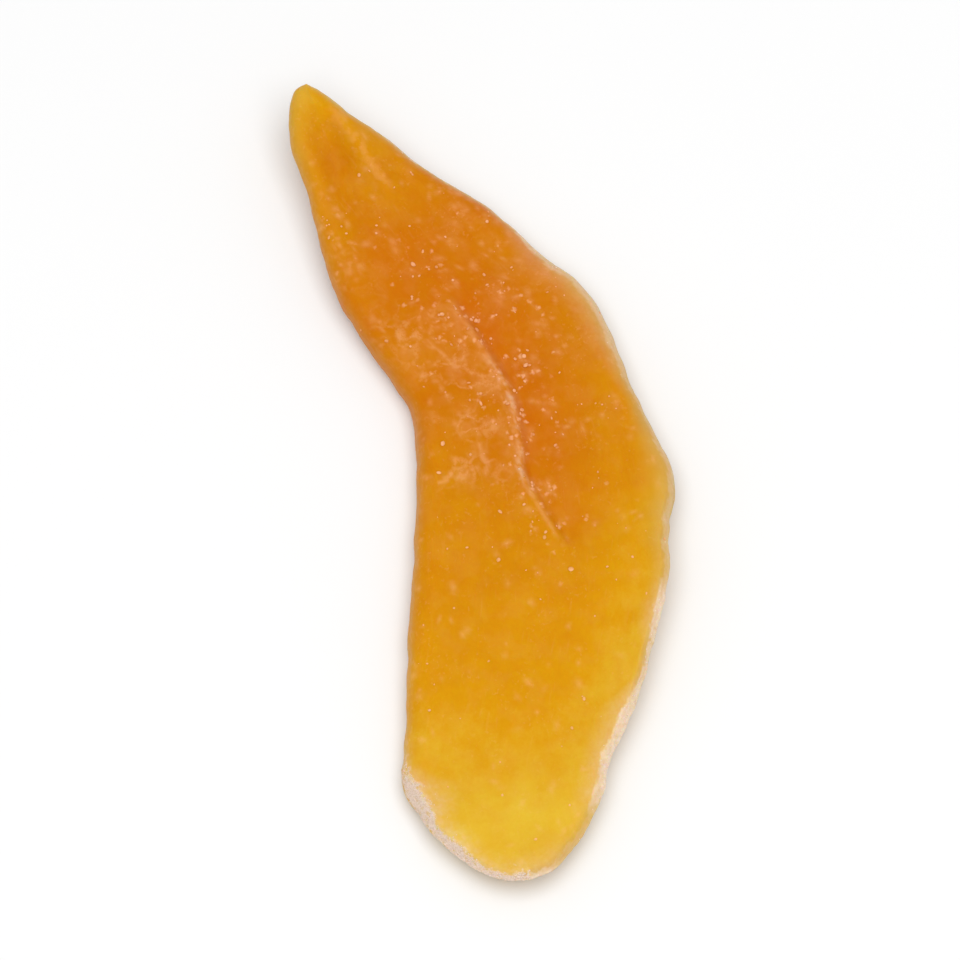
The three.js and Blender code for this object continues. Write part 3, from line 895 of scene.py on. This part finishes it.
class Nodes:
    """Short calls that add the nodes of one material and link them."""

    def __init__(self, name):
        self.material = bpy.data.materials.new(name)
        self.material.use_nodes = True
        self.tree = self.material.node_tree
        self.tree.nodes.clear()

    def link(self, socket, value):
        """Joins a socket to another one, or sets it to a number or colour."""
        if isinstance(value, bpy.types.NodeSocket):
            self.tree.links.new(value, socket)
        elif hasattr(value, "__len__") and len(value) == 3 and socket.type == "RGBA":
            socket.default_value = (*value, 1.0)
        else:
            socket.default_value = value

    def add(self, kind, settings=None, **inputs):
        """Adds a shader node of the kind, with its settings, and links or sets its inputs."""
        node = self.tree.nodes.new("ShaderNode" + kind)
        for key, value in (settings or {}).items():
            setattr(node, key, value)
        for key, value in inputs.items():
            self.link(node.inputs[key.replace("_", " ")], value)
        return node

    def attribute(self, name, output="Fac"):
        return self.add("Attribute", {"attribute_name": name}).outputs[output]

    def math(self, operation, first, second=0.0, clamp=False):
        node = self.add("Math", {"operation": operation, "use_clamp": clamp})
        self.link(node.inputs[0], first)
        self.link(node.inputs[1], second)
        return node.outputs[0]

    def plus(self, first, second, clamp=False):
        return self.math("ADD", first, second, clamp)

    def minus(self, first, second):
        return self.math("SUBTRACT", first, second)

    def times(self, first, second, clamp=False):
        return self.math("MULTIPLY", first, second, clamp)

    def place(self):
        return self.add("TexCoord").outputs["Object"]

    def noise(self, vector, size, detail, roughness, output="Fac"):
        inputs = {"Vector": vector, "Scale": 1 / size, "Detail": detail, "Roughness": roughness}
        return self.add("TexNoise", **inputs).outputs[output]

    def patches(self, vector, pattern):
        """Noise cut to soft patches between 0 and 1."""
        *kind, low, high = pattern
        return self.between(self.noise(vector, *kind), low, high)

    def specks(self, vector, size, chance):
        """Soft specks, one in each cell of the size whose own random number is below the chance."""
        cells = self.add("TexVoronoi", Vector=vector, Scale=1 / size)
        chosen = self.between(self.minus(chance, cells.outputs["Color"]), *SPECK_CHOICE)
        fade = self.between(cells.outputs["Distance"], *SPECK_EDGE)
        return self.times(chosen, self.minus(1.0, fade))

    def between(self, value, low, high):
        """0 below low, 1 above high, and eased between."""
        eased = {"interpolation_type": "SMOOTHSTEP"}
        node = self.add("MapRange", eased, Value=value, From_Min=low, From_Max=high)
        return node.outputs["Result"]

    def blend(self, share, first, second):
        node = self.add("Mix", {"data_type": "RGBA"})
        self.link(node.inputs["Factor"], share)
        self.link(node.inputs[6], first)
        self.link(node.inputs[7], second)
        return node.outputs[2]

    def varied(self, value, noise, share):
        """The value moved up and down by a noise, whose middle is 0.5."""
        return self.plus(value, self.times(self.minus(noise, 0.5), share), clamp=True)

    def stretched(self, vector, scale):
        return self.add("Mapping", Vector=vector, Scale=scale).outputs["Vector"]

    def ramp(self, value, colours):
        node = self.add("ValToRGB", Fac=value)
        elements = node.color_ramp.elements
        while len(elements) < len(colours):
            elements.new(0.5)
        for k, (element, colour) in enumerate(zip(elements, colours)):
            element.position = k / (len(colours) - 1)
            element.color = (*colour, 1.0)
        return node.outputs["Color"]

    def finish(self, **inputs):
        """Adds the surface shader and the output."""
        shader = self.add("BsdfPrincipled", **inputs)
        self.add("OutputMaterial", Surface=shader.outputs[0])
        return self.material


def flesh_colours(look):
    return look.deep, look.orange, look.golden, look.yellow


def flesh_material(look):
    """Orange to yellow flesh with faint fibres, thin pale edges and sugar frost."""
    n = Nodes("mango_flesh")
    place = n.place()
    along_fibres = n.stretched(n.attribute(GRAIN, "Vector"), FIBRE_PATTERN_STRETCH)

    mottle = n.noise(place, *MOTTLE)
    speckle = n.noise(place, *SPECKLE)
    strands = n.noise(along_fibres, *FINE_STRANDS)
    # The tone holds painted shade in the stem hollow and beside the ledge, and painted light above the ledge
    # and on the left rim.
    tone = n.attribute(TONE)
    for pattern, share in zip((mottle, speckle, strands), TONE_VARIATIONS):
        tone = n.varied(tone, pattern, share)
    colour = n.ramp(tone, flesh_colours(look))
    colour = n.blend(n.times(n.attribute(THIN), EDGE_SHARE), colour, look.edge)

    streaks = n.times(n.patches(along_fibres, STREAKS), n.patches(place, STREAK_PATCHES))
    net = n.math("ABSOLUTE", n.minus(n.noise(place, *NET), 0.5))
    net = n.minus(1.0, n.between(net, 0.0, NET_LINE))
    net = n.times(n.times(net, n.attribute(FILM)), n.between(speckle, 0.25, 0.60))
    haze = n.patches(place, FILM_CLOUDS)
    haze = n.times(haze, n.plus(0.09, n.times(n.attribute(FILM), 0.22)))
    dust = n.times(n.patches(place, DUST), n.patches(place, DUST_PATCHES))
    # The haze attribute also holds the painted highlight along the ledge's crest.
    veil = n.times(n.attribute(HAZE), n.plus(n.times(speckle, 0.5), 0.75), clamp=True)
    for layer, share in zip((streaks, net, dust, veil), HAZE_SHARES):
        haze = n.plus(haze, n.times(layer, share), clamp=True)
    colour = n.blend(n.times(haze, look.haze_share), colour, look.haze)

    uneven = n.add("VectorMath", {"operation": "ADD"})
    n.link(uneven.inputs[0], place)
    n.link(uneven.inputs[1], n.stretched(n.noise(place, *SPECK_BEND, "Color"), SPECK_BEND_REACH))
    specks = n.specks(uneven.outputs[0], SPECK_SIZE, n.attribute(SUGAR))
    colour = n.blend(n.times(specks, SPECK_SHARE), colour, look.sugar)

    frost = n.attribute(FROST)
    cover = n.times(frost, n.plus(0.6, n.times(speckle, 0.7)), clamp=True)
    colour = n.blend(cover, colour, look.frost)

    roughness = n.varied(n.plus(look.roughness, n.times(frost, FROST_ROUGHER)), mottle, 0.25)
    relief = n.plus(n.times(strands, 0.3), n.times(speckle, 0.4))
    relief = n.plus(relief, n.times(n.times(speckle, frost), 0.7))
    relief = n.plus(relief, n.times(specks, 0.8))
    bump = n.add("Bump", Strength=0.5, Distance=BUMP_HEIGHT, Height=relief)
    return n.finish(
        Base_Color=colour,
        Roughness=roughness,
        Normal=bump.outputs["Normal"],
        Subsurface_Weight=look.glow,
        Subsurface_Radius=GLOW_RADIUS,
        Subsurface_Scale=look.glow_depth,
        Specular_IOR_Level=look.shine,
        Specular_Tint=(*look.gloss_tint, 1.0),
    )


def crystal_material(look):
    """Half clear sugar, which takes on more or less of the colour of the flesh below."""
    n = Nodes("sugar_crystal")
    cover = n.plus(0.35, n.times(n.patches(n.place(), CRYSTAL_CLOUDS), 0.35))
    cover = n.times(cover, n.attribute(RISE))
    tint = n.blend(cover, n.ramp(n.attribute(TONE), flesh_colours(look)), look.sugar)
    return n.finish(Base_Color=tint, Roughness=0.5, Specular_IOR_Level=0.1, Specular_Tint=(*look.sugar, 1.0))


def frost_material(look):
    n = Nodes("sugar_frost")
    tint = n.blend(n.noise(n.place(), *GRAIN_CLOUDS), look.frost, look.grains)
    return n.finish(Base_Color=tint, Roughness=0.5, Specular_IOR_Level=0.2)


def floor_material(colour):
    n = Nodes("pale_floor")
    tint = n.blend(n.noise(n.place(), *FLOOR_CLOUDS), tuple(FLOOR_SHADE * part for part in colour), colour)
    return n.finish(Base_Color=tint, Roughness=0.75)


# Sugar


def scattered_places(mesh, weight_name, count, rng):
    """Random points on a mesh with normals and nearest vertices, denser where the named value is high."""
    mesh.calc_loop_triangles()
    triangles = mesh.loop_triangles
    corners = read(triangles, "vertices", 3, np.int32)
    points = read(mesh.vertices, "co", 3)
    chance = read(triangles, "area")[:, 0] * values_of(mesh, weight_name)[corners].mean(axis=1)
    chosen = rng.choice(len(triangles), count, p=chance / chance.sum())
    first, second = rng.random((2, count, 1))
    first = np.sqrt(first)
    a, b, c = (points[corners[chosen, k]] for k in range(3))
    places = (1 - first) * a + first * (1 - second) * b + first * second * c
    return places, read(triangles, "normal", 3)[chosen], corners[chosen, 0]


def turned(normals, rng):
    """For each normal, three directions at right angles, turned at random about it."""
    spin = rng.normal(size=normals.shape)
    side = np.cross(normals, spin)
    side /= np.linalg.norm(side, axis=1)[:, None]
    return side, np.cross(normals, side), normals


def ball_form():
    """Corners and faces of a ball of eighty triangles."""
    ball = bmesh.new()
    bmesh.ops.create_icosphere(ball, subdivisions=2, radius=1)
    corners = np.array([corner.co for corner in ball.verts])
    faces = np.array([[corner.index for corner in face.verts] for face in ball.faces])
    ball.free()
    return corners, faces


def spark_form():
    """Corners and faces of a double pyramid of eight triangles."""
    corners = np.array([(1, 0, 0), (0, 1, 0), (-1, 0, 0), (0, -1, 0), (0, 0, 1), (0, 0, -1)], float)
    faces = [(k, (k + 1) % 4, 4) for k in range(4)] + [((k + 1) % 4, k, 5) for k in range(4)]
    return corners, np.array(faces)


def joined_grains(name, mesh, weight_name, count, size, form, sunk, rng):
    """One mesh of many uneven grains that lie on another mesh, each sunk in it by a share of its size."""
    corners, faces = form
    places, normals, vertices = scattered_places(mesh, weight_name, count, rng)
    tilted = normals + rng.normal(scale=GRAIN_TILT, size=normals.shape)
    tilted /= np.linalg.norm(tilted, axis=1)[:, None]
    directions = turned(tilted, rng)
    spread = rng.normal(scale=GRAIN_SPREAD, size=(count, 1))
    sizes = size * np.exp(np.clip(spread, *GRAIN_SPREAD_LIMITS))
    stretch = sizes * rng.uniform(*GRAIN_STRETCH, (count, 3)) * GRAIN_FLATNESS
    unevenness = rng.uniform(-GRAIN_UNEVENNESS, GRAIN_UNEVENNESS, (count, len(corners), 3))
    local = corners * (1 + unevenness) * stretch[:, None]
    points = places[:, None] + normals[:, None] * (sizes * (GRAIN_RISE - sunk))[:, None]
    for axis, direction in enumerate(directions):
        points = points + local[..., axis : axis + 1] * direction[:, None]
    points[..., 2] = np.maximum(points[..., 2], 0)
    numbers = faces + (np.arange(count) * len(corners))[:, None, None]
    grains = bpy.data.meshes.new(name)
    grains.from_pydata(points.reshape(-1, 3).tolist(), [], numbers.reshape(-1, faces.shape[1]).tolist())
    grains.shade_smooth()
    store(grains, TONE, np.repeat(values_of(mesh, TONE)[vertices], len(corners)))
    store(grains, RISE, np.tile(smooth((corners[:, 2] + 0.6) / 1.2), count))
    return grains


# Pieces


def add_object(name, data):
    """Puts a new object in the scene."""
    item = bpy.data.objects.new(name, data)
    bpy.context.scene.collection.objects.link(item)
    return item


def add_piece(name, mesh, material):
    """Puts a mesh in the scene as a piece that rides on the slice's body."""
    piece = add_object(name, mesh)
    mesh.materials.append(material)
    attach(piece, BODY)
    return piece


class MESH_OT_mango_flesh(Operator):
    """Builds the flesh of the slice in place of the frame's solid"""

    bl_idname = "mesh.mango_flesh"
    bl_label = "Mango Flesh"
    settings = ("mango_shape", "mango_flesh_look")

    def execute(self, context):
        mesh = build_flesh_mesh(context.scene.mango_shape)
        piece = add_piece(FLESH, mesh, flesh_material(context.scene.mango_flesh_look))
        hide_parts(NODE)
        return {"FINISHED"}


class MESH_OT_mango_sugar(Operator):
    """Scatters sugar crystals on the face and fine grains on the frosted rims"""

    bl_idname = "mesh.mango_sugar"
    bl_label = "Sugar"
    settings = ("mango_sugar",)

    def execute(self, context):
        sugar, look = context.scene.mango_sugar, context.scene.mango_flesh_look
        flesh = bpy.data.objects[FLESH].data
        rng = np.random.default_rng(sugar.seed)
        crystals = sugar.crystals, sugar.crystal_size, ball_form(), CRYSTAL_SUNK
        grains = sugar.grains, sugar.grain_size, spark_form(), FINE_GRAIN_SUNK
        for name, weight_name, kind, material in (
            ("sugar_crystals", SUGAR, crystals, crystal_material),
            ("sugar_frost", CRUMBS, grains, frost_material),
        ):
            add_piece(name, joined_grains(name, flesh, weight_name, *kind, rng), material(look))
        return {"FINISHED"}


class SCENE_OT_mango_studio(Operator):
    """Sets up the pale floor, the soft light and the camera"""

    bl_idname = "scene.mango_studio"
    bl_label = "Studio"
    settings = ("mango_studio",)

    def execute(self, context):
        studio = context.scene.mango_studio
        self.add_floor(studio)
        self.add_lights(context, studio)
        self.add_camera(context, studio)
        context.scene.view_settings.view_transform = "Standard"
        return {"FINISHED"}

    def add_floor(self, studio):
        half = studio.floor_size / 2
        mesh = bpy.data.meshes.new("floor")
        corners = [(x * half, y * half, 0) for x, y in ((-1, -1), (1, -1), (1, 1), (-1, 1))]
        mesh.from_pydata(corners, [], [(0, 1, 2, 3)])
        mesh.materials.append(floor_material(studio.floor_colour))
        floor = add_object("floor", mesh)

    def add_lights(self, context, studio):
        world = bpy.data.worlds.new("studio_sky")
        world.use_nodes = True
        background = world.node_tree.nodes["Background"]
        background.inputs["Color"].default_value = (1.0, 1.0, 1.0, 1.0)
        background.inputs["Strength"].default_value = studio.sky
        context.scene.world = world
        light = bpy.data.lights.new("key", "AREA")
        light.energy = studio.key_power
        light.size = KEY_SIZE
        key = add_object("key", light)
        key.location = KEY_PLACE
        key.rotation_euler = Vector(key.location).to_track_quat("Z", "Y").to_euler()

    def add_camera(self, context, studio):
        data = bpy.data.cameras.new("camera")
        data.lens = studio.lens
        a, e = studio.azimuth, studio.elevation
        back = Vector((math.sin(a) * math.cos(e), -math.cos(a) * math.cos(e), math.sin(e)))
        camera = add_object("camera", data)
        camera.location = Vector(AIM) + back * (studio.span * studio.lens / data.sensor_width)
        camera.rotation_euler = back.to_track_quat("Z", "Y").to_euler()
        context.scene.camera = camera


class VIEW3D_PT_mango_slice(Panel):
    """Lists the steps that build the slice"""

    bl_label = "Mango Slice"
    bl_space_type = "VIEW_3D"
    bl_region_type = "UI"
    bl_category = "Mango Slice"

    def draw(self, context):
        for operator in OPERATORS:
            box = self.layout.box()
            for name in operator.settings:
                group = getattr(context.scene, name)
                for value in group.__annotations__:
                    box.prop(group, value)
            box.operator(operator.bl_idname)


SETTINGS = {
    "mango_shape": MangoShape,
    "mango_flesh_look": MangoFleshLook,
    "mango_sugar": MangoSugar,
    "mango_studio": MangoStudio,
}
OPERATORS = (MESH_OT_mango_flesh, MESH_OT_mango_sugar, SCENE_OT_mango_studio)
CLASSES = (*SETTINGS.values(), *OPERATORS, VIEW3D_PT_mango_slice)


def register():
    for cls in CLASSES:
        register_class(cls)
    for name, group in SETTINGS.items():
        setattr(bpy.types.Scene, name, PointerProperty(type=group))


def unregister():
    for name in SETTINGS:
        delattr(bpy.types.Scene, name)
    for cls in reversed(CLASSES):
        unregister_class(cls)


def main():
    register()
    bpy.ops.scene.mango_studio()
    bpy.ops.mesh.mango_flesh()
    bpy.ops.mesh.mango_sugar()


if __name__ == "__main__":
    main()
